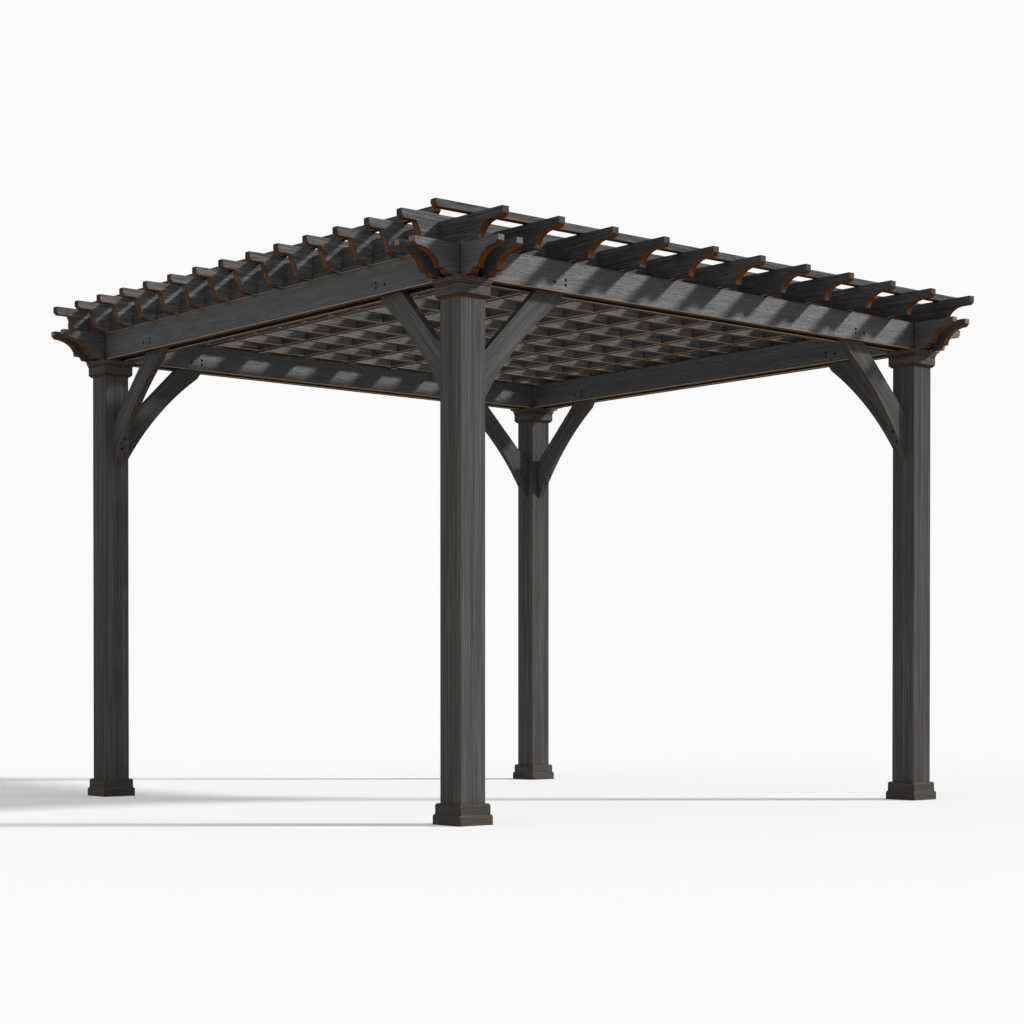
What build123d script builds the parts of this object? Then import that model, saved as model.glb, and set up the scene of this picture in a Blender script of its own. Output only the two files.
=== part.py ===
"""Free-standing timber pergola: four square posts on stepped bases, double beams on every side,
arched knee braces, and an open grid of half-lapped rafters and purlins with shaped tails.
Millimetres, +Z up, origin on the ground at the middle of the plan. The front side faces -Y."""
from build123d import *
import os

os.makedirs("parts", exist_ok=True)

# Posts
post_width = 140.0
post_pitch = 3048.0
beam_underside = 2360.0

# Stepped base round the foot of each post
base_width = 189.0
base_upper_width = 174.0
base_lower_height = 46.0
base_upper_height = 47.0
base_easing = 7.0
trim_clearance = 0.3

# Capital round the head of each post
capital_block_width = 173.0
capital_step_width = 179.0
capital_crown_width = 189.0
capital_chamfer = 12.0
capital_block_height = 56.0
capital_step_height = 9.0
capital_crown_height = 19.0
capital_flare_out = 4.0
capital_flare_rise = 12.0

# Beams, two on each side, half-lapped where they cross over the posts
beam_thickness = 38.0
beam_depth = 140.0
beam_reach = 320.0
beam_tip_height = 40.0
beam_tip_easing = 15.0
beam_cove_run = 133.0
beam_cove_rise = 80.0
beam_ledge_run = 32.0
beam_step_run = 14.0

# Rafters run along Y, and rest on the front and rear beams
board_thickness = 38.0
board_tip_easing = 15.0
rafter_count = 11
rafter_depth = 114.0
rafter_reach = 350.0
rafter_tip_height = 44.0
rafter_tip_run = 68.0
rafter_cove_run = 92.0

# Purlins run along X, are half-lapped into the rafters, and stand higher than they do
purlin_count = 14
purlin_depth = 150.0
purlin_reach = 266.0
purlin_overhang = 131.0
purlin_tip_height = 44.0
purlin_tip_run = 80.0
purlin_slope_run = 46.0
purlin_heel_easing = 14.0
lap_clearance = 0.5
lap_share = 0.5

# Slats: one lies on the rafters' front tails, and one on the purlins over each side beam
slat_height = 36.0
side_slat_overhang = 18.0

# Arched knee braces
brace_thickness = 38.0
brace_drop = 570.0
brace_foot_length = 234.0
brace_head_length = 160.0
brace_arch_rise = 39.0
brace_facet_run = 27.0
brace_facet_rise = 40.0
brace_head_rise = 100.0
packer_length = 72.0
packer_height = 70.0
packer_recess = 18.0

# One overrun serves every cut
overrun = 20.0

half_pitch = post_pitch / 2
outer_face = half_pitch + post_width / 2
beam_top = beam_underside + beam_depth
rafter_top = beam_top + rafter_depth
purlin_top = beam_top + purlin_depth
purlin_end = half_pitch + purlin_reach
CORNERS = {
    "front_left": (-1, -1),
    "front_right": (1, -1),
    "rear_left": (-1, 1),
    "rear_right": (1, 1),
}


def save(shape, node):
    """Write one node to its own file."""
    export_step(shape, f"parts/{node}.step")


def square_block(width, height, bottom):
    """Square block centred on the Z axis."""
    return Pos(0, 0, bottom + height / 2) * Box(width, width, height)


def eased_block(width, height, bottom, easing):
    """Square block with a sloping easing round its top edge."""
    block = square_block(width, height, bottom)
    return chamfer(block.faces().sort_by(Axis.Z)[-1].edges(), easing)


def flared_block(width, height, bottom, flare_out, flare_rise):
    """Square block whose foot slopes out to its full width."""
    block = square_block(width, height, bottom)
    foot = block.faces().sort_by(Axis.Z)[0]
    return chamfer(foot.edges(), flare_out, flare_rise, reference=foot)


def post_hole(height):
    """Clearance hole for a post through its trim."""
    hole = post_width + 2 * trim_clearance
    return square_block(hole, height + 2 * overrun, -overrun)


def post_base():
    """Two-tier base with an eased edge on top of each tier."""
    lower = eased_block(base_width, base_lower_height, 0, base_easing)
    upper = eased_block(base_upper_width, base_upper_height, base_lower_height, base_easing)
    return lower + upper - post_hole(base_lower_height + base_upper_height)


def capital():
    """Block with a chamfered foot, a step, and a flared crown that meets the beams."""
    crown_bottom = beam_underside - capital_crown_height
    step_bottom = crown_bottom - capital_step_height
    block_bottom = step_bottom - capital_block_height
    shape = flared_block(
        capital_block_width, capital_block_height, block_bottom, capital_chamfer, capital_chamfer
    )
    shape += square_block(capital_step_width, capital_step_height, step_bottom)
    shape += flared_block(
        capital_crown_width, capital_crown_height, crown_bottom, capital_flare_out, capital_flare_rise
    )
    return shape - post_hole(beam_underside)


def cove(tip, run, rise):
    """Hollow quarter ellipse, level where it leaves the tip and plumb where it ends."""
    centre = (tip[0], tip[1] - rise)
    return EllipticalCenterArc(centre, run, rise, start_angle=90, arc_size=90)


def mirrored_face(half_lines):
    """Closed face from the right-hand half of an outline and its mirror image about the Y axis."""
    half = Curve() + half_lines
    whole = half + mirror(half, Plane.YZ)
    return make_face(whole.edges())


def beam_outline():
    """Long side of a beam, seen square on, with its underside at zero."""
    reach = half_pitch + beam_reach
    tip_low = beam_depth - beam_tip_height
    cove_end_height = tip_low - beam_cove_rise
    ledge_start = reach - beam_cove_run
    ledge_end = ledge_start - beam_ledge_run
    step_end = ledge_end - beam_step_run
    cove_start = reach - beam_tip_easing
    lines = [
        Line((0, beam_depth), (reach, beam_depth)),
        Line((reach, beam_depth), (reach, tip_low + beam_tip_easing)),
        Line((reach, tip_low + beam_tip_easing), (cove_start, tip_low)),
        cove((cove_start, tip_low), cove_start - ledge_start, beam_cove_rise),
        Line((ledge_start, cove_end_height), (ledge_end, cove_end_height)),
        Line((ledge_end, cove_end_height), (step_end, 0)),
        Line((step_end, 0), (0, 0)),
    ]
    return mirrored_face(lines)


def tip_lines(depth, reach, tip_height, tip_run):
    """Top edge of a board, its plumb tip with the lower corner cut off, and the tip's level underside."""
    tip_low = depth - tip_height
    return [
        Line((0, depth), (reach, depth)),
        Line((reach, depth), (reach, tip_low + board_tip_easing)),
        Line((reach, tip_low + board_tip_easing), (reach - board_tip_easing, tip_low)),
        Line((reach - board_tip_easing, tip_low), (reach - tip_run, tip_low)),
    ]


def rafter_outline():
    """Long side of a rafter, seen square on, with its underside at zero and a cove behind each tip."""
    reach = half_pitch + rafter_reach
    tip_low = rafter_depth - rafter_tip_height
    cove_start = reach - rafter_tip_run
    cove_end = cove_start - rafter_cove_run
    lines = tip_lines(rafter_depth, reach, rafter_tip_height, rafter_tip_run)
    lines += [
        cove((cove_start, tip_low), rafter_cove_run, tip_low),
        Line((cove_end, 0), (0, 0)),
    ]
    return mirrored_face(lines)


def purlin_outline():
    """Long side of a purlin, seen square on, with its underside at zero and a slope behind each tip."""
    tip_low = purlin_depth - purlin_tip_height
    slope_start = purlin_end - purlin_tip_run
    slope_end = slope_start - purlin_slope_run
    heel_start = slope_end + purlin_slope_run * purlin_heel_easing / tip_low
    heel_end = slope_end - purlin_heel_easing
    lines = tip_lines(purlin_depth, purlin_end, purlin_tip_height, purlin_tip_run)
    lines += [
        Line((slope_start, tip_low), (heel_start, purlin_heel_easing)),
        Line((heel_start, purlin_heel_easing), (heel_end, 0)),
        Line((heel_end, 0), (0, 0)),
    ]
    return mirrored_face(lines)


def stand_up(face, thickness, bottom):
    """Extrude an outline to a board along X, centred on Y, with its underside at a height."""
    board = extrude(Plane.XZ * face, amount=thickness / 2, both=True)
    return Pos(0, 0, bottom) * board


def notches(places, board_size, bottom, top):
    """Slots across a board along X, one for each place where another board crosses it."""
    width = board_size + 2 * lap_clearance
    depth = top - bottom
    span = 2 * (board_thickness + beam_thickness)
    return [Pos(x, 0, bottom + depth / 2) * Box(width, span, depth) for x in places]


def quarter_turn(shape):
    """Turn a board along X to lie along Y."""
    return Rot(0, 0, 90) * shape


def spread(count, last):
    """Evenly spaced centre lines, as far on one side of the middle as on the other."""
    pitch = 2 * last / (count - 1)
    return [pitch * index - last for index in range(count)]


def slat(start, end, bottom):
    """Strip along X, centred on Y, with the lower corner cut off at both ends."""
    length = end - start
    strip = Pos((start + end) / 2, 0, bottom + slat_height / 2) * Box(length, board_thickness, slat_height)
    low_ends = strip.faces().sort_by(Axis.Z)[0].edges().filter_by(Axis.Y)
    return chamfer(low_ends, board_tip_easing)


rafter_lines = spread(rafter_count, outer_face - board_thickness / 2)
front_slat_line, *purlin_lines = spread(purlin_count + 1, half_pitch + purlin_overhang)
side_slat_line = outer_face + side_slat_overhang - board_thickness / 2
beam_line = outer_face - beam_thickness / 2
inner_beam_line = half_pitch - post_width / 2 + beam_thickness / 2
beam_lines = [-beam_line, -inner_beam_line, inner_beam_line, beam_line]

# Posts, bases and capitals
base_shape = post_base()
capital_shape = capital()
post_shape = square_block(post_width, beam_underside, 0)
for corner, (side_x, side_y) in CORNERS.items():
    place = Pos(side_x * half_pitch, side_y * half_pitch, 0)
    save(place * post_shape, f"post_{corner}")
    save(place * base_shape, f"post_base_{corner}")
    save(place * capital_shape, f"capital_{corner}")

# Beams: those along X lap over those along Y
beam_blank = stand_up(beam_outline(), beam_thickness, beam_underside)
beam_lap = beam_underside + beam_depth * lap_share
lap_below = notches(beam_lines, beam_thickness, beam_underside - overrun, beam_lap)
lap_above = notches(beam_lines, beam_thickness, beam_lap, beam_top + overrun)
beam_along_x = beam_blank - lap_below
beam_along_y = quarter_turn(beam_blank - lap_above)
BEAM_ROWS = {"outer": beam_line, "inner": inner_beam_line}
for row, line in BEAM_ROWS.items():
    save(Pos(0, -line, 0) * beam_along_x, f"front_{row}_beam")
    save(Pos(0, line, 0) * beam_along_x, f"rear_{row}_beam")
    save(Pos(-line, 0, 0) * beam_along_y, f"left_{row}_beam")
    save(Pos(line, 0, 0) * beam_along_y, f"right_{row}_beam")

# Rafters lie under the purlins at each lap
rafter_lap = beam_top + rafter_depth * lap_share
rafter_blank = stand_up(rafter_outline(), board_thickness, beam_top)
rafter_cuts = notches(purlin_lines, board_thickness, rafter_lap, rafter_top + overrun)
rafter_shape = quarter_turn(rafter_blank - rafter_cuts)
for number, line in enumerate(rafter_lines, start=1):
    save(Pos(line, 0, 0) * rafter_shape, f"rafter_{number:02d}")

# Purlins lap over the rafters, with their undersides level with them
purlin_blank = stand_up(purlin_outline(), board_thickness, beam_top)
purlin_cuts = notches(rafter_lines, board_thickness, beam_top - overrun, rafter_lap)
purlin_shape = purlin_blank - purlin_cuts
third = purlin_count // 3
PURLIN_SETS = {
    "front_purlins": purlin_lines[: third + 1],
    "middle_purlins": purlin_lines[third + 1 : purlin_count - third - 1],
    "rear_purlins": purlin_lines[purlin_count - third - 1 :],
}
for node, lines in PURLIN_SETS.items():
    save(Compound(children=[Pos(0, line, 0) * purlin_shape for line in lines]), node)

# Slats: the front one lies on the rafters, level with the purlins; the side ones lie on the purlins
front_slat = slat(-purlin_end, purlin_end, rafter_top)
save(Pos(0, front_slat_line, 0) * front_slat, "front_slat")
side_slat_start = purlin_lines[0] - board_thickness / 2
side_slat_end = purlin_lines[-1] + board_thickness / 2
side_slat = quarter_turn(slat(side_slat_start, side_slat_end, purlin_top))
save(Pos(-side_slat_line, 0, 0) * side_slat, "left_slat")
save(Pos(side_slat_line, 0, 0) * side_slat, "right_slat")

brace_foot_height = beam_underside - brace_drop
upper_run = brace_drop - brace_foot_length
brace_head_out = upper_run + brace_head_length


def brace_outline():
    """Side of a knee brace: zero is the post's face, heights are above the ground."""
    foot_top = brace_foot_height + brace_foot_length
    arch_end = (brace_head_out - brace_facet_run, beam_underside - brace_facet_rise)
    head_top = beam_underside + brace_head_rise
    lean = brace_facet_run / brace_facet_rise
    foot = Vector(0, brace_foot_height)
    chord = Vector(*arch_end) - foot
    sideways = Vector(-chord.Y, chord.X).normalized() * brace_arch_rise
    crown = foot + chord / 2 + sideways
    lines = [
        Line((0, brace_foot_height), (0, foot_top)),
        Line((0, foot_top), (upper_run + brace_head_rise, head_top)),
        Line((upper_run + brace_head_rise, head_top), (brace_head_out + brace_head_rise * lean, head_top)),
        Line((brace_head_out + brace_head_rise * lean, head_top), arch_end),
        ThreePointArc(arch_end, (crown.X, crown.Y), (0, brace_foot_height)),
    ]
    return make_face(Curve() + lines)


# Braces: each stands on a post's face and rises between a pair of beams, packed out to both
brace_shape = Pos(post_width / 2, 0, 0) * stand_up(brace_outline(), brace_thickness, 0)
beam_gap = post_width - 2 * beam_thickness
packer_thickness = (beam_gap - brace_thickness) / 2
packer_out = post_width / 2 + brace_head_out - packer_length / 2
packer_rise = beam_underside + packer_recess + packer_height / 2
packer_offset = (brace_thickness + packer_thickness) / 2
packer = Pos(packer_out, packer_offset, packer_rise) * Box(packer_length, packer_thickness, packer_height)
packer_pair = [packer, mirror(packer, Plane.XZ)]
packers = []
for corner, (side_x, side_y) in CORNERS.items():
    place = Pos(side_x * half_pitch, side_y * half_pitch, 0)
    turns = {"x": 90 + 90 * side_x, "y": -90 * side_y}
    for axis, turn in turns.items():
        seat = place * Rot(0, 0, turn)
        save(seat * brace_shape, f"knee_brace_{corner}_{axis}")
        packers += [seat * piece for piece in packer_pair]
save(Compound(children=packers), "brace_packers")
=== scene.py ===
import math
import random

import bmesh
import bpy
from mathutils import Matrix, Vector


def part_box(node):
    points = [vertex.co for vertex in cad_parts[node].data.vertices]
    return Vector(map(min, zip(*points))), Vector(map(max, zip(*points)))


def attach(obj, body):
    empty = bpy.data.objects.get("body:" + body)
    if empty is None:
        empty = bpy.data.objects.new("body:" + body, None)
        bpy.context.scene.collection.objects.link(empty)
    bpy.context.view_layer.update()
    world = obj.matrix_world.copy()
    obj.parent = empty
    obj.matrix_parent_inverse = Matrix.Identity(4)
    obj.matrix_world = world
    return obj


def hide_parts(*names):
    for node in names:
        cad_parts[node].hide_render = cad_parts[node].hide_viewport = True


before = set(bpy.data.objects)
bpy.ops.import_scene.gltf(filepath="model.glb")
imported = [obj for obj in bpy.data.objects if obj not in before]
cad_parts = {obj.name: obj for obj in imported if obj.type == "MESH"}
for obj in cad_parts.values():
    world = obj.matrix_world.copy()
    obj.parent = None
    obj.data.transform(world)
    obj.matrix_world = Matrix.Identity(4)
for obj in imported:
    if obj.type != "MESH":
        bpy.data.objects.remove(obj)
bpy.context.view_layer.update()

# Posts: four lengths of square softwood, planed all round and stood at the corners of the plan.
# They are stained charcoal black, with the grain upright. The stain is a little rubbed along the
# eased arrises.
corners = ("front_left", "front_right", "rear_left", "rear_right")
post_easing = 0.005
weld_distance = 0.00001
flat_angle = math.radians(0.5)
smooth_angle = math.radians(25)
square_angle = math.radians(60)
square_share = 0.98
slope_share = 0.05
upright_share = 0.5
easing_segments = 4
easing_squareness = 0.72
thin_face = 0.001
pith_spread = 0.09
length_spread = 40.0
timber_dice = random.Random(1873)
inner_face, outer_face = (point[0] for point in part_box("post_front_right"))
grain_sway = 0.03
grain_depth = 0.003
figure_shares = {"streaks": 0.50, "bands": 0.20, "pores": 0.30}
stain_steps = ((0.28, 0.014), (0.50, 0.050), (0.74, 0.134))
# Painted shade, tinted brown: the first for faces that look down, the second for the gaps between paired
# beams and the quirks under the capitals' mouldings.
underside_shade_brown = (0.024, 0.0125, 0.0065, 1)
crevice_shade_brown = (0.012, 0.0068, 0.004, 1)
deep_brown = (0.046, 0.0150, 0.0032, 1)
rich_brown = (0.112, 0.0400, 0.0072, 1)
# The pale tan of the painted highlight along the low arrises.
highlight_tan = (0.42, 0.30, 0.20, 1)
end_tint = (1.12, 1.0, 0.88)
end_share = 0.7
dull_sheen = 0.06
# How far a face looks up, from where a wear, painted shade or painted highlight starts to where it is full.
underside_shade_range = (-0.35, -0.85)
hollow_range = (0.06, -0.48)
low_edge_range = (0.10, -0.40)
highlight_facing_range = (0.0, -0.45)
crest_fade = 0.35
# Distances out from the posts' outer faces, and from the lines where beams cross.
# The painted shade in the gaps between paired beams is darker between the posts than out at the tips.
crevice_shade_range = (outer_face, outer_face + 0.06)
# The painted highlight on the low arrises stops a little past the posts' outer faces.
highlight_reach = (outer_face + 0.01, outer_face + 0.05)
seam_range = (0.009, 0.003)


def welded_copy(node):
    """The node's loose triangles, merged and joined into flat faces."""
    work = bmesh.new()
    work.from_mesh(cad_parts[node].data)
    bmesh.ops.remove_doubles(work, verts=work.verts, dist=weld_distance)
    bmesh.ops.dissolve_limit(work, angle_limit=flat_angle, verts=work.verts, edges=work.edges)
    work.verts.layers.float.new("wear")
    for mark in ("hollow", "cut", "end", "crevice_shade"):
        work.faces.layers.float.new(mark)
    return work


def note_saw_marks(work):
    """Mark the faces of sawn curves, shaded smooth, and the faces sawn on a slope."""
    hollow = work.faces.layers.float["hollow"]
    cut = work.faces.layers.float["cut"]
    for edge in work.edges:
        bend = edge.calc_face_angle(0)
        if flat_angle < bend < smooth_angle:
            for face in edge.link_faces:
                face[hollow] = 1
                face.smooth = True
    for face in work.faces:
        face[cut] = float(-square_share < face.normal.z < -slope_share)


def note_ends(work, along):
    """Mark the plumb faces that show end grain."""
    hollow = work.faces.layers.float["hollow"]
    end = work.faces.layers.float["end"]
    run = Vector(along).normalized()
    for face in work.faces:
        square = abs(face.normal.dot(run)) > square_share
        face[end] = float(square and not face[hollow])


def note_gap_shade(work, axis, line):
    """Mark the faces that look into the gap between a pair of beams, where shade is painted on."""
    crevice_shade = work.faces.layers.float["crevice_shade"]
    for face in work.faces:
        inward = (line - face.calc_center_median()[axis]) * face.normal[axis]
        face[crevice_shade] = float(inward > 0)


def ease_arrises(work, easing, arrises, worn=1.0):
    """Round the given edges, and mark how worn the rounded strips are."""
    made = bmesh.ops.bevel(
        work,
        geom=arrises,
        offset=easing,
        offset_type="OFFSET",
        segments=easing_segments,
        profile=easing_squareness,
        affect="EDGES",
        clamp_overlap=True,
    )
    strips = set(made["faces"])
    wear = work.verts.layers.float["wear"]
    hollow = work.faces.layers.float["hollow"]
    for face in strips:
        face.smooth = True
        face[hollow] = 0
    for vert in made["verts"]:
        if all(face in strips for face in vert.link_faces):
            vert[wear] = worn


def outer_edges(work, least, most):
    """The outer edges whose bend lies in a range, but for those of the thinnest ledges."""
    convex = [edge for edge in work.edges if edge.is_convex]
    bent = [edge for edge in convex if least < edge.calc_face_angle(0) <= most]
    thin = {face for face in work.faces if face.calc_area() < thin_face * face.calc_perimeter()}
    return [edge for edge in bent if not thin.intersection(edge.link_faces)]


def boards_of(work):
    """The separate boards of a mesh, each a list of its corner points."""
    for vert in work.verts:
        vert.tag = False
    boards = []
    for first in work.verts:
        if first.tag:
            continue
        first.tag = True
        board = [first]
        for vert in board:
            for edge in vert.link_edges:
                other = edge.other_vert(vert)
                if not other.tag:
                    other.tag = True
                    board.append(other)
        boards.append(board)
    return boards


def lie_of_grain(along):
    """The three directions of a board: lengthwise, across and upward."""
    along = Vector(along).normalized()
    flat = Vector((0, 0, 1)) if abs(along.z) < upright_share else Vector((0, 1, 0))
    across = along.cross(flat).normalized()
    return along, across, across.cross(along)


def note_grain(work, along):
    """Give each board its own grain, measured from its pith. Mitred trim has a run on each side."""
    grain = work.loops.layers.float_vector.new("grain")
    tone = work.verts.layers.float.new("tone")
    for board in boards_of(work):
        low = Vector([min(vert.co[axis] for vert in board) for axis in range(3)])
        high = Vector([max(vert.co[axis] for vert in board) for axis in range(3)])
        middle = (low + high) / 2
        start = timber_dice.uniform(0, length_spread)
        pith = Vector([start] + [timber_dice.uniform(-pith_spread, pith_spread) for side in range(2)])
        board_tone = timber_dice.uniform(-1, 1)
        for vert in board:
            vert[tone] = board_tone
            for loop in vert.link_loops:
                normal = loop.face.normal
                run = along or ((0, 1, 0) if abs(normal.x) > abs(normal.y) else (1, 0, 0))
                place = vert.co - middle
                loop[grain] = pith + Vector([place.dot(axis) for axis in lie_of_grain(run)])


def finished_piece(name, work, finish):
    """Turn a worked mesh into a finished piece."""
    mesh = bpy.data.meshes.new(name)
    work.to_mesh(mesh)
    work.free()
    mesh.materials.append(finish)
    piece = bpy.data.objects.new(name, mesh)
    bpy.context.scene.collection.objects.link(piece)
    return piece


def dressed_timber(node, along, easing, finish, gap=None):
    """A planed and eased copy of a node, with its grain and wear noted on it."""
    work = welded_copy(node)
    note_saw_marks(work)
    note_ends(work, along)
    if gap:
        note_gap_shade(work, *gap)
    for least, most in ((smooth_angle, square_angle), (square_angle, math.pi)):
        arrises = outer_edges(work, least, most)
        if arrises:
            ease_arrises(work, easing, arrises)
    note_grain(work, along)
    return finished_piece(f"{node}_dressed", work, finish)


def put(tree, kind, inputs=None, **options):
    """Add a shader node, set its options, and set or link its inputs."""
    made = tree.nodes.new(kind)
    for name, value in options.items():
        setattr(made, name, value)
    for name, value in (inputs or {}).items():
        if isinstance(value, bpy.types.NodeSocket):
            tree.links.new(value, made.inputs[name])
        else:
            made.inputs[name].default_value = value
    return made


def sums(tree, operation, first, second=0.0, third=0.0):
    """One sum on numbers or sockets."""
    made = put(tree, "ShaderNodeMath", {0: first, 1: second, 2: third}, operation=operation)
    return made.outputs[0]


def ranged(tree, value, low, high, start=0.0, end=1.0):
    """A value spread smoothly from one range to another, held at both ends."""
    made = put(
        tree,
        "ShaderNodeMapRange",
        {"Value": value, "From Min": low, "From Max": high, "To Min": start, "To Max": end},
        interpolation_type="SMOOTHSTEP",
    )
    return made.outputs["Result"]


def noise(tree, vector, along, across, detail, roughness=0.55):
    """Soft random figure, with so many features a metre along and across the grain."""
    spread = put(tree, "ShaderNodeMapping", {"Vector": vector, "Scale": (along, across, across)})
    made = put(
        tree,
        "ShaderNodeTexNoise",
        {"Vector": spread.outputs["Vector"], "Scale": 1.0, "Detail": detail, "Roughness": roughness},
    )
    return made.outputs["Fac"]


def blended(tree, share, first, second):
    """Two colours mixed by a share."""
    made = put(tree, "ShaderNodeMix", data_type="RGBA")
    for socket, value in zip((made.inputs[0], made.inputs[6], made.inputs[7]), (share, first, second)):
        if isinstance(value, bpy.types.NodeSocket):
            tree.links.new(value, socket)
        else:
            socket.default_value = value
    return made.outputs[2]


def marked(tree, mark):
    """The value of a mark that was noted on the mesh."""
    return put(tree, "ShaderNodeAttribute", attribute_name=mark).outputs["Fac"]


def grain_noises(tree, run):
    """The noises that make up the figure of the wood, by name. Most sway a little along its length."""
    straight = put(tree, "ShaderNodeAttribute", attribute_name="grain").outputs["Vector"]
    bend = noise(tree, straight, 1.2 / run, 5.0, 2.0)
    bend = sums(tree, "MULTIPLY_ADD", bend, grain_sway / run, -grain_sway / run / 2)
    sway = put(tree, "ShaderNodeCombineXYZ", {"Y": bend, "Z": bend}).outputs["Vector"]
    grain = put(tree, "ShaderNodeVectorMath", {0: straight, 1: sway}, operation="ADD").outputs["Vector"]
    return {
        "streaks": noise(tree, grain, 6.5 / run, 185.0, 4.0, 0.62),
        "pores": noise(tree, grain, 24.0 / run, 560.0, 2.0),
        "bands": noise(tree, grain, 0.8 / run, 34.0, 3.0),
        "patches": noise(tree, straight, 1.3, 6.0, 3.0),
        "blotches": noise(tree, grain, 13.0, 60.0, 4.0),
    }


def wood_figure(tree, noises, contrast):
    """Streaks, bands and pores summed to one figure."""
    figure = 0.0
    for name, share in figure_shares.items():
        figure = sums(tree, "MULTIPLY_ADD", noises[name], share, figure)
    return sums(tree, "MULTIPLY_ADD", sums(tree, "SUBTRACT", figure, 0.5), contrast, 0.5)


def stained_wood(tree, noises, figure, pale, warm):
    """The stain's colour from the dark grain to the pale, with its patches and the board's own tone."""
    level = sums(tree, "MULTIPLY_ADD", noises["patches"], 0.24, 0.88)
    level = sums(tree, "MULTIPLY_ADD", marked(tree, "tone"), 0.06, level)
    stain = put(tree, "ShaderNodeValToRGB", {"Fac": figure})
    steps = stain.color_ramp.elements
    steps.new(0.5)
    tint = (1 + warm, 1, 1 - warm)
    for step, (place, depth) in zip(steps, stain_steps):
        step.position = place
        step.color = (*(depth * pale * part for part in tint), 1)
    scaled = put(
        tree,
        "ShaderNodeVectorMath",
        {0: stain.outputs["Color"], "Scale": level},
        operation="SCALE",
    )
    return scaled.outputs["Vector"]


def plan_reaches(tree):
    """The greater and the lesser of the two distances from the middle lines of the plan."""
    place = put(tree, "ShaderNodeTexCoord").outputs["Object"]
    plan = put(tree, "ShaderNodeSeparateXYZ", {"Vector": place}).outputs
    spans = [sums(tree, "ABSOLUTE", plan[axis]) for axis in ("X", "Y")]
    return sums(tree, "MAXIMUM", *spans), sums(tree, "MINIMUM", *spans)


def rubbed_share(tree, noises, facing, rub, edge, side, crest):
    """How far the stain is rubbed to brown, in the sawn hollows and along the arrises."""
    sawn = sums(tree, "MAXIMUM", marked(tree, "hollow"), marked(tree, "cut"))
    sawn = sums(tree, "MULTIPLY", sawn, ranged(tree, facing, *hollow_range))
    sawn = sums(tree, "MULTIPLY", sawn, ranged(tree, noises["blotches"], 0.28, 0.55, 0.85, 1.0))
    sawn = sums(tree, "MULTIPLY", sawn, rub)
    low_edge = ranged(tree, facing, *low_edge_range, side, edge)
    low_edge = sums(tree, "MULTIPLY", low_edge, ranged(tree, facing, crest + crest_fade, crest))
    worn = sums(tree, "MULTIPLY_ADD", noises["blotches"], 0.9, marked(tree, "wear"))
    arris = sums(tree, "MULTIPLY", ranged(tree, worn, 0.95, 1.45), low_edge)
    return sums(tree, "MAXIMUM", sawn, arris)


def crossing_share(tree, reach, lesser):
    """How near a place is to the upright lines where the beams cross, in line with the posts' faces."""
    near = []
    for span, line in ((reach, outer_face), (lesser, outer_face), (lesser, inner_face)):
        distance = sums(tree, "ABSOLUTE", sums(tree, "SUBTRACT", span, line))
        near.append(ranged(tree, distance, *seam_range))
    return sums(tree, "MULTIPLY", near[0], sums(tree, "MAXIMUM", near[1], near[2]))


def brown_wood(tree, noises):
    """The brown of thin stain, varied along the grain."""
    mellow = sums(tree, "MULTIPLY", noises["bands"], 0.6)
    mellow = sums(tree, "MULTIPLY_ADD", noises["streaks"], 0.4, mellow)
    return blended(tree, ranged(tree, mellow, 0.35, 0.65), deep_brown, rich_brown)


def arris_highlight_share(tree, noises, facing, reach, highlight):
    """How strong the painted highlight is, a pale tan line along the low arrises between the posts."""
    worn = sums(tree, "MULTIPLY_ADD", noises["streaks"], 0.8, marked(tree, "wear"))
    painted_highlight = ranged(tree, worn, 1.05, 1.4)
    painted_highlight = sums(tree, "MULTIPLY", painted_highlight, ranged(tree, reach, *highlight_reach, 1.0, 0.0))
    return sums(tree, "MULTIPLY", painted_highlight, ranged(tree, facing, *highlight_facing_range, 0.0, highlight))


def empty_finish(name):
    """A new material and its tree, with nothing in it yet."""
    finish = bpy.data.materials.new(name)
    finish.use_nodes = True
    finish.node_tree.nodes.clear()
    return finish, finish.node_tree


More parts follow.
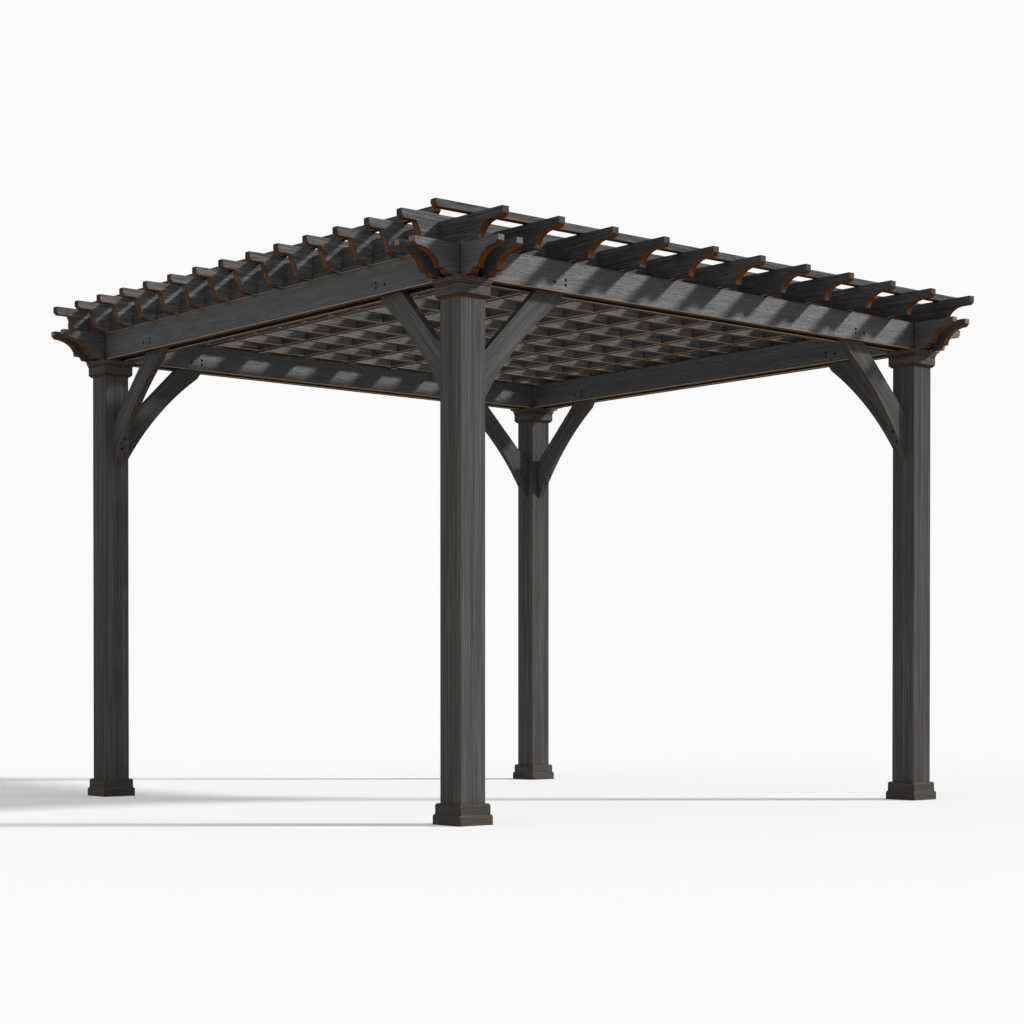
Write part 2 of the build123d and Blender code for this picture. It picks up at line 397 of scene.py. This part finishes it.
def charcoal_stain(
    name, pale, warm, contrast, run, rub, edge, side, highlight,
    end_tone=0.03, seam=0, sheen=0.14, relief=0.4, under=0.9, crest=0.40
):
    """Charcoal stain on softwood. Pale scales the stain, warm tints it, contrast scales its figure and
    run the length of its streaks. Rub is the brown of the sawn hollows, edge that of the low arrises,
    side that of the others, and highlight the pale tan highlight painted on the low arrises. End tone is
    the level of the end grain, seam the brown where beams cross, sheen the shine, relief the depth of the
    grain and under the painted shade, tinted brown, on the undersides. Crest is how far up the rounded
    edges the brown goes."""
    finish, tree = empty_finish(name)
    normal = put(tree, "ShaderNodeTexCoord").outputs["Normal"]
    facing = put(tree, "ShaderNodeSeparateXYZ", {"Vector": normal}).outputs["Z"]
    reach, lesser = plan_reaches(tree)
    noises = grain_noises(tree, run)
    figure = wood_figure(tree, noises, contrast)

    end = marked(tree, "end")
    # Painted shade, tinted brown, on faces that look down, and on faces in the gaps between beams and in
    # the quirks.
    painted_underside_shade = ranged(tree, facing, *underside_shade_range, 0.0, under)
    painted_crevice_shade = ranged(tree, reach, *crevice_shade_range, 0.85, 0.25)
    painted_crevice_shade = sums(tree, "MULTIPLY", marked(tree, "crevice_shade"), painted_crevice_shade)
    rubbed = rubbed_share(tree, noises, facing, rub, edge, side, crest)
    if seam:
        crossing = sums(tree, "MULTIPLY", crossing_share(tree, reach, lesser), seam)
        rubbed = sums(tree, "MAXIMUM", rubbed, crossing)
    # Painted highlight: a pale tan line along the low arrises between the posts, on faces that look down.
    painted_highlight = arris_highlight_share(tree, noises, facing, reach, highlight)

    coloured = stained_wood(tree, noises, figure, pale, warm)
    coloured = blended(tree, painted_underside_shade, coloured, underside_shade_brown)
    coloured = blended(tree, painted_crevice_shade, coloured, crevice_shade_brown)
    end_colour = (*(end_tone * part for part in end_tint), 1)
    coloured = blended(tree, sums(tree, "MULTIPLY", end, end_share), coloured, end_colour)
    coloured = blended(tree, rubbed, coloured, brown_wood(tree, noises))
    coloured = blended(tree, painted_highlight, coloured, highlight_tan)

    dull = sums(tree, "MAXIMUM", sums(tree, "MAXIMUM", painted_underside_shade, painted_crevice_shade), rubbed)
    shine = ranged(tree, sums(tree, "MAXIMUM", dull, end), 0.0, 0.6, sheen, min(sheen, dull_sheen))
    height = sums(tree, "MULTIPLY_ADD", noises["pores"], 0.5, figure)
    height = sums(tree, "MULTIPLY_ADD", noises["blotches"], 2.5 * relief - 1.0, height)
    bump = put(
        tree,
        "ShaderNodeBump",
        {"Height": height, "Strength": relief, "Distance": grain_depth * relief},
    )
    shader = put(
        tree,
        "ShaderNodeBsdfPrincipled",
        {
            "Base Color": coloured,
            "Roughness": ranged(tree, figure, 0.3, 0.75, 0.74, 0.55),
            "Specular IOR Level": shine,
            "Normal": bump.outputs["Normal"],
        },
    )
    put(tree, "ShaderNodeOutputMaterial", {"Surface": shader.outputs["BSDF"]})
    return finish


post_stain = charcoal_stain(
    "post_stain", pale=1.26, warm=0.03, contrast=0.9, run=4.0, rub=0.0, edge=0.3, side=0.14, highlight=0.0,
    sheen=0.02
)
for corner in corners:
    post = dressed_timber(f"post_{corner}", (0, 0, 1), post_easing, post_stain)
    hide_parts(f"post_{corner}")
    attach(post, "root")

# Post bases: two-tier skirts of milled softwood, slipped over the posts and resting on the ground.
# The top edge of each tier slopes off, the corners are well rounded, and the stain has worn to
# brown along the edges.
base_easing = 0.009
base_corner = 0.010
trim_bore = 0.072
corner_wear = 0.76
edge_wear = 1.0
base_stain = charcoal_stain(
    "base_stain", pale=0.92, warm=0.09, contrast=0.8, run=1.5, rub=0.6, edge=1.0, side=1.3, highlight=0.0,
    crest=0.62
)


def milled_trim(node, corner_easing, edge_easing):
    """Trim with rounded upright corners, and easings where its outer sides end."""
    work = welded_copy(node)
    note_saw_marks(work)
    low, high = (Vector(point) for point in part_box(node))
    middle = (low + high) / 2
    for upright, easing, worn in ((True, corner_easing, corner_wear), (False, edge_easing, edge_wear)):
        spreads = {vert: max(abs(part) for part in (vert.co - middle).xy) for vert in work.verts}
        outside = {vert for vert in work.verts if spreads[vert] > trim_bore}
        walls = {face for face in work.faces if abs(face.normal.z) < slope_share}
        arrises = outer_edges(work, smooth_angle, math.pi)
        arrises = [edge for edge in arrises if outside.issuperset(edge.verts)]
        arrises = [edge for edge in arrises if walls.intersection(edge.link_faces)]
        rises = {edge: abs(edge.verts[0].co.z - edge.verts[1].co.z) for edge in arrises}
        arrises = [edge for edge in arrises if (rises[edge] > weld_distance) == upright]
        ease_arrises(work, easing, arrises, worn)
    return work


for corner in corners:
    node = f"post_base_{corner}"
    work = milled_trim(node, base_corner, base_easing)
    note_grain(work, None)
    base = finished_piece(f"{node}_dressed", work, base_stain)
    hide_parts(node)
    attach(base, "root")

# Beams: paired softwood boards on each side, half-lapped over the posts. Both ends are sawn to a
# cove with a small ledge at its foot, and the sawn hollows show brown where the stain is thin.
# Three counterbored holes over each brace take its bolts, two of them one above the other.
beam_easing = 0.005
# Faces that look into the gap between each pair of beams get painted shade, darker between the posts.
beam_stain = charcoal_stain(
    "beam_stain", pale=0.7, warm=0.01, contrast=1.1, run=1.0, rub=3.0, edge=0.6, side=0.5, highlight=0.9,
    end_tone=0.19, seam=0.5, sheen=0.92, relief=0.9
)
recess_radius = 0.0075
recess_depth = 0.012
recess_segments = 28
bolt_places = ((0.470, 0.040), (0.535, 0.033), (0.535, 0.055))
post_line = (inner_face + outer_face) / 2
# Each side's axis across the beams, and the end of that axis it lies at.
sides = {"front": (1, -1), "rear": (1, 1), "left": (0, -1), "right": (0, 1)}


def sink_recesses(piece, spots, radius, depth):
    """Sink a round recess into a piece at each spot, a place on its face and the way that faces."""
    work = bmesh.new()
    for place, outward in spots:
        turn = outward.to_track_quat("Z", "Y").to_matrix().to_4x4()
        bmesh.ops.create_cone(
            work,
            cap_ends=True,
            segments=recess_segments,
            radius1=radius,
            radius2=radius,
            depth=2 * depth,
            matrix=Matrix.Translation(place) @ turn,
        )
    cutter = finished_piece("recess_cutter", work, piece.data.materials[0])
    drill = piece.modifiers.new("recesses", "BOOLEAN")
    drill.object = cutter
    drill.solver = "EXACT"
    drilled = piece.evaluated_get(bpy.context.evaluated_depsgraph_get())
    piece.data = bpy.data.meshes.new_from_object(drilled)
    piece.modifiers.clear()
    bpy.data.objects.remove(cutter)


bolt_spots = []
for side, (axis, sign) in sides.items():
    for row in ("outer", "inner"):
        node = f"{side}_{row}_beam"
        along = (1, 0, 0) if axis == 1 else (0, 1, 0)
        beam = dressed_timber(node, along, beam_easing, beam_stain, gap=(axis, sign * post_line))
        low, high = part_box(node)
        away = sign if row == "outer" else -sign
        outward = Vector((0, 0, 0))
        outward[axis] = away
        spots = []
        for end in (-1, 1):
            for step, rise in bolt_places:
                place = Vector((0, 0, low[2] + rise))
                place[axis] = high[axis] if away > 0 else low[axis]
                place[1 - axis] = end * (post_line - step)
                spots.append((place, outward))
        sink_recesses(beam, spots, recess_radius, recess_depth)
        bolt_spots += [(place - outward * recess_depth, outward) for place, outward in spots]
        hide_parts(node)
        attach(beam, "root")

# Bolts: black steel bolts through each pair of beams and the brace between them. A six-sided head
# or nut on a round washer sits at the bottom of each counterbored hole.
bolt_sizes = {
    "Head Radius": 0.0052,
    "Head Height": 0.006,
    "Head Sides": 6,
    "Washer Radius": 0.0070,
    "Washer Height": 0.002,
}
fixing_sockets = {
    "Head Radius": "NodeSocketFloat",
    "Head Height": "NodeSocketFloat",
    "Head Sides": "NodeSocketInt",
    "Washer Radius": "NodeSocketFloat",
    "Washer Height": "NodeSocketFloat",
    "Finish": "NodeSocketMaterial",
}
washer_segments = 20
steel_mottle = 240.0
dark_steel = (0.012, 0.011, 0.011, 1)
pale_steel = (0.045, 0.040, 0.036, 1)


def fixing_tree():
    """Nodes that set a head on a washer at every point of a mesh, turned the way the point faces."""
    tree = bpy.data.node_groups.new("fixing_heads", "GeometryNodeTree")
    tree.interface.new_socket("Spots", in_out="INPUT", socket_type="NodeSocketGeometry")
    for name, kind in fixing_sockets.items():
        tree.interface.new_socket(name, in_out="INPUT", socket_type=kind)
    tree.interface.new_socket("Fixings", in_out="OUTPUT", socket_type="NodeSocketGeometry")
    given = put(tree, "NodeGroupInput").outputs
    washer = put(
        tree,
        "GeometryNodeMeshCylinder",
        {"Vertices": washer_segments, "Radius": given["Washer Radius"], "Depth": given["Washer Height"]},
    )
    head = put(
        tree,
        "GeometryNodeMeshCylinder",
        {"Vertices": given["Head Sides"], "Radius": given["Head Radius"], "Depth": given["Head Height"]},
    )
    lift = sums(tree, "ADD", given["Washer Height"], given["Head Height"])
    lifts = {washer: sums(tree, "MULTIPLY", given["Washer Height"], 0.5)}
    lifts[head] = sums(tree, "MULTIPLY_ADD", given["Washer Height"], 0.5, sums(tree, "MULTIPLY", lift, 0.5))
    both = put(tree, "GeometryNodeJoinGeometry")
    for solid, height in lifts.items():
        up = put(tree, "ShaderNodeCombineXYZ", {"Z": height}).outputs[0]
        raised = put(tree, "GeometryNodeTransform", {"Geometry": solid.outputs["Mesh"], "Translation": up})
        tree.links.new(raised.outputs[0], both.inputs[0])
    outward = put(tree, "GeometryNodeInputNamedAttribute", {"Name": "outward"}, data_type="FLOAT_VECTOR")
    turn = put(tree, "FunctionNodeAlignRotationToVector", {"Vector": outward.outputs[0]}, axis="Z")
    placed = put(
        tree,
        "GeometryNodeInstanceOnPoints",
        {"Points": given["Spots"], "Instance": both.outputs[0], "Rotation": turn.outputs[0]},
    )
    real = put(tree, "GeometryNodeRealizeInstances", {"Geometry": placed.outputs[0]})
    painted = put(
        tree,
        "GeometryNodeSetMaterial",
        {"Geometry": real.outputs[0], "Material": given["Finish"]},
    )
    put(tree, "NodeGroupOutput", {"Fixings": painted.outputs[0]})
    return tree


def fixings(name, spots, sizes, finish):
    """One mesh with a fixing at each spot."""
    points = bpy.data.meshes.new(name)
    points.from_pydata([place for place, outward in spots], [], [])
    ways = points.attributes.new("outward", "FLOAT_VECTOR", "POINT")
    for way, (place, outward) in zip(ways.data, spots):
        way.vector = outward
    piece = bpy.data.objects.new(name, points)
    bpy.context.scene.collection.objects.link(piece)
    nodes = piece.modifiers.new("fixings", "NODES")
    nodes.node_group = fixing_heads
    values = {**sizes, "Finish": finish}
    for socket in fixing_heads.interface.items_tree:
        if socket.name in values:
            nodes[socket.identifier] = values[socket.name]
    made = piece.evaluated_get(bpy.context.evaluated_depsgraph_get())
    piece.data = bpy.data.meshes.new_from_object(made)
    piece.modifiers.clear()
    return piece


def blackened_steel(name):
    """Black coated steel, a little mottled."""
    finish, tree = empty_finish(name)
    place = put(tree, "ShaderNodeTexCoord").outputs["Object"]
    mottle = noise(tree, place, steel_mottle, steel_mottle, 3.0)
    shader = put(
        tree,
        "ShaderNodeBsdfPrincipled",
        {
            "Base Color": blended(tree, mottle, dark_steel, pale_steel),
            "Metallic": 0.6,
            "Roughness": ranged(tree, mottle, 0.3, 0.7, 0.38, 0.62),
        },
    )
    put(tree, "ShaderNodeOutputMaterial", {"Surface": shader.outputs["BSDF"]})
    return finish


fixing_heads = fixing_tree()
fixing_steel = blackened_steel("fixing_steel")
bolts = fixings("beam_bolts", bolt_spots, bolt_sizes, fixing_steel)
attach(bolts, "root")

# Capitals: moulded collars round the post heads, under the beams, glued up and nailed to the posts.
# Each has a chamfered foot, a plain block, a thin step and a flared crown. The stain has worn on the
# mouldings, and shade is painted in the quirks under them.
capital_easing = 0.0028
capital_moulding = 0.028
capital_quirk = 0.004
moulding_wear = 0.62
capital_stain = charcoal_stain(
    "capital_stain", pale=1.0, warm=0.05, contrast=0.9, run=1.5, rub=0.35, edge=1.0, side=0.9, highlight=0.2
)


def wear_mouldings(work, start):
    """Wear the stain of the mouldings, from a height upward."""
    wear = work.verts.layers.float["wear"]
    for vert in work.verts:
        if vert.co.z > start + weld_distance:
            vert[wear] = max(vert[wear], moulding_wear)


def paint_quirk_shade(work, depth):
    """Mark a strip under each ledge of the mouldings, where shade is painted on."""
    crevice_shade = work.faces.layers.float["crevice_shade"]
    foot = min(vert.co.z for vert in work.verts)
    ledges = {face.calc_center_median().z for face in work.faces if face.normal.z < -square_share}
    for ledge in sorted(ledges):
        start = ledge - depth
        if start < foot:
            continue
        parts = work.verts[:] + work.edges[:] + work.faces[:]
        bmesh.ops.bisect_plane(work, geom=parts, plane_co=(0, 0, start), plane_no=(0, 0, 1))
        for face in work.faces:
            if start < face.calc_center_median().z < ledge:
                face[crevice_shade] = 1


for corner in corners:
    node = f"capital_{corner}"
    work = milled_trim(node, capital_easing, capital_easing)
    wear_mouldings(work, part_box(node)[1][2] - capital_moulding)
    paint_quirk_shade(work, capital_quirk)
    note_grain(work, None)
    capital = finished_piece(f"{node}_dressed", work, capital_stain)
    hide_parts(node)
    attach(capital, "root")

# Knee braces: arched boards set diagonally between post and beams. The foot stands on the post's
# face and the head is held between the paired beams, with thin packers on both sides of it.
# Pockets in the soffit take the screws that hold the foot and the head.
brace_easing = 0.004
packer_easing = 0.001
brace_stain = charcoal_stain(
    "brace_stain", pale=1.3, warm=0.02, contrast=0.8, run=2.5, rub=0.12, edge=0.6, side=0.3, highlight=0.0,
    sheen=0.02, under=0.5
)
pocket_radius = 0.0085
pocket_depth = 0.016
pocket_shares = (0.125, 0.20, 0.96)
sight_reach = 0.3
screw_sizes = {
    "Head Radius": 0.0045,
    "Head Height": 0.002,
    "Head Sides": 12,
    "Washer Radius": 0.006,
    "Washer Height": 0.001,
}
screw_spots = []
for corner in corners:
    side_x = 1 if "right" in corner else -1
    side_y = 1 if "rear" in corner else -1
    inward = {"x": Vector((-side_x, 0, 0)), "y": Vector((0, -side_y, 0))}
    for brace_axis, level in inward.items():
        node = f"knee_brace_{corner}_{brace_axis}"
        brace = dressed_timber(node, level + Vector((0, 0, 1)), brace_easing, brace_stain)
        low, high = (Vector(point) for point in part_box(node))
        across = Vector((1, 1, 0)) - Vector([abs(part) for part in level])
        middle = Vector([part * share for part, share in zip((low + high) / 2, across)])
        near = Vector([(low if part > 0 else high)[i] * abs(part) for i, part in enumerate(level)])
        foot = middle + near + Vector((0, 0, low.z))
        head = foot + level * (high - low).dot(Vector([abs(part) for part in level]))
        head.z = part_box("front_outer_beam")[0][2]
        chord = head - foot
        outward = (chord.cross(chord.cross(Vector((0, 0, 1))))).normalized()
        spots = []
        for share in pocket_shares:
            sight = foot + chord * share + outward * sight_reach
            found, place, normal, face = brace.ray_cast(sight, -outward)
            spots.append((place, normal))
        sink_recesses(brace, spots, pocket_radius, pocket_depth)
        screw_spots += [(place - normal * pocket_depth, normal) for place, normal in spots]
        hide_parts(node)
        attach(brace, "root")
brace_screws = fixings("brace_screws", screw_spots, screw_sizes, fixing_steel)
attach(brace_screws, "root")
packers = dressed_timber("brace_packers", (1, 0, 0), packer_easing, brace_stain)
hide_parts("brace_packers")
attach(packers, "root")

# Rafters: eleven softwood boards on edge across the front and rear beams, notched from above.
# Their tails are sawn to a cove and a short level tip with its lower corner cut off.
board_easing = 0.0055
# Their stain is painted darker than the purlins', though the wood is the same: painted shade for the sides
# that face away from the sun.
rafter_stain_shaded = charcoal_stain(
    "rafter_stain_shaded", pale=0.88, warm=0.01, contrast=1.15, run=1.2, rub=1.0, edge=0.8, side=0.35, highlight=0.7,
    end_tone=0.055, sheen=0.05
)
rafters = sorted(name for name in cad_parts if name.startswith("rafter_"))
for node in rafters:
    rafter = dressed_timber(node, (0, 1, 0), board_easing, rafter_stain_shaded)
    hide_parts(node)
    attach(rafter, "root")

# Purlins: fourteen deeper boards of the same softwood, on edge. They are notched from below and let
# down into the rafters until the undersides are level. Their tails are cut back on a slope behind a
# level tip.
# Their stain is painted paler than the rafters': painted light for the sides that face the sun. Their end
# grain is painted darker: painted shade for the ends that face away from it.
purlin_stain_lit = charcoal_stain(
    "purlin_stain_lit", pale=1.75, warm=0.01, contrast=1.3, run=1.2, rub=0.8, edge=0.8, side=0.35, highlight=0.7,
    end_tone=0.010, sheen=0.05
)
purlin_nodes = ("front_purlins", "middle_purlins", "rear_purlins")
for node in purlin_nodes:
    purlins = dressed_timber(node, (1, 0, 0), board_easing, purlin_stain_lit)
    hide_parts(node)
    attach(purlins, "root")

# Slats: shallow strips of the same board, screwed down flat. One lies on the rafters' front tails,
# and one on the purlins over each side beam.
slat_stain = charcoal_stain(
    "slat_stain", pale=1.3, warm=0.01, contrast=1.3, run=1.2, rub=1.0, edge=0.8, side=0.35, highlight=0.5,
    end_tone=0.02, sheen=0.05
)
slat_runs = {"front_slat": (1, 0, 0), "left_slat": (0, 1, 0), "right_slat": (0, 1, 0)}
for node, along in slat_runs.items():
    slat = dressed_timber(node, along, board_easing, slat_stain)
    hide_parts(node)
    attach(slat, "root")

# Roof screws: pan-headed steel screws driven from above, where each purlin crosses an inner rafter
# and wherever a slat lies on a board. They stand a little proud of the timber.
roof_spots = []
up = Vector((0, 0, 1))


def centre_lines(node, axis):
    """Where the boards of a node lie along an axis, and the height of their tops."""
    work = welded_copy(node)
    lines = []
    for board in boards_of(work):
        places = [vert.co[axis] for vert in board]
        lines.append((min(places) + max(places)) / 2)
    work.free()
    return sorted(lines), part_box(node)[1][2]


rafter_lines = [centre_lines(node, 0)[0][0] for node in rafters]
purlin_lines = []
for node in purlin_nodes:
    lines, purlin_top = centre_lines(node, 1)
    purlin_lines += lines
for rafter_line in rafter_lines[1:-1]:
    for purlin_line in purlin_lines:
        roof_spots.append((Vector((rafter_line, purlin_line, purlin_top)), up))
for node, axis in (("left_slat", 0), ("right_slat", 0), ("front_slat", 1)):
    (line,), slat_top = centre_lines(node, axis)
    for crossing in purlin_lines if axis == 0 else rafter_lines:
        spot = (line, crossing) if axis == 0 else (crossing, line)
        roof_spots.append((Vector((*spot, slat_top)), up))
roof_screws = fixings("roof_screws", roof_spots, screw_sizes, fixing_steel)
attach(roof_screws, "root")

# Floor: a wide pale studio floor that keeps the shadows and runs out to the white background.
# It is matt, with a faint glow of its own that only the camera sees, so that it lights nothing.
floor_reach = 90.0
floor_tone = 0.60
floor_glow = 0.272


def seen_directly(tree):
    """One for the camera's own rays and for rays through clear things, nought for the rest."""
    path = put(tree, "ShaderNodeLightPath").outputs
    return sums(tree, "MAXIMUM", path["Is Camera Ray"], path["Is Transmission Ray"])


floor_paint, tree = empty_finish("floor_paint")
matt = put(tree, "ShaderNodeBsdfDiffuse", {"Color": (floor_tone, floor_tone, floor_tone, 1)})
glow_level = sums(tree, "MULTIPLY", seen_directly(tree), floor_glow)
glow = put(tree, "ShaderNodeEmission", {"Color": (1, 1, 1, 1), "Strength": glow_level})
both = put(tree, "ShaderNodeAddShader", {0: matt.outputs[0], 1: glow.outputs[0]})
put(tree, "ShaderNodeOutputMaterial", {"Surface": both.outputs[0]})
work = bmesh.new()
bmesh.ops.create_grid(work, x_segments=1, y_segments=1, size=floor_reach)
floor = finished_piece("studio_floor", work, floor_paint)

# Light: an even pale sky with one soft low sun from the front right, and a weak wide fill light
# from the left.
sky_level = 0.40
sky_seen = 0.955
sun_strength = 4.0
sun_softness = math.radians(6.5)
sun_travel = (-0.766, 0.643, -0.65)
fill_strength = 0.58
fill_softness = math.radians(60)
fill_travel = (1.0, 0.1, -0.2)
world = bpy.data.worlds.new("studio_sky")
bpy.context.scene.world = world
world.use_nodes = True
tree = world.node_tree
tree.nodes.clear()
level = ranged(tree, seen_directly(tree), 0.0, 1.0, sky_level, sky_seen)
sky = put(tree, "ShaderNodeBackground", {"Color": (1, 1, 1, 1), "Strength": level})
put(tree, "ShaderNodeOutputWorld", {"Surface": sky.outputs[0]})
sun_lamp = bpy.data.lights.new("sun", "SUN")
sun_lamp.energy = sun_strength
sun_lamp.angle = sun_softness
fill_lamp = bpy.data.lights.new("fill", "SUN")
fill_lamp.energy = fill_strength
fill_lamp.angle = fill_softness
for lamp, travel in ((sun_lamp, sun_travel), (fill_lamp, fill_travel)):
    light = bpy.data.objects.new(lamp.name, lamp)
    light.rotation_euler = Vector(travel).to_track_quat("-Z", "Y").to_euler()
    bpy.context.scene.collection.objects.link(light)

# Camera: low down off the front left corner, at about 0.6 m from the ground. It looks level, but for
# half a degree, with the lens shifted up, so that the posts stay upright.
camera_place = (-7.2006, -8.5399, 0.6166)
camera_heading = math.radians(49.667)
camera_tilt = math.radians(-0.547)
camera_lens = 73.127
camera_rise = 0.1860
camera_sensor = 36.0
camera_sight = 300.0
camera_data = bpy.data.cameras.new("camera")
camera_data.lens = camera_lens
camera_data.sensor_width = camera_sensor
camera_data.shift_y = camera_rise
camera_data.clip_end = camera_sight
camera = bpy.data.objects.new("camera", camera_data)
camera.location = camera_place
camera.rotation_euler = (math.pi / 2 + camera_tilt, 0, camera_heading - math.pi / 2)
bpy.context.scene.collection.objects.link(camera)
bpy.context.scene.camera = camera
bpy.context.scene.view_settings.view_transform = "Standard"
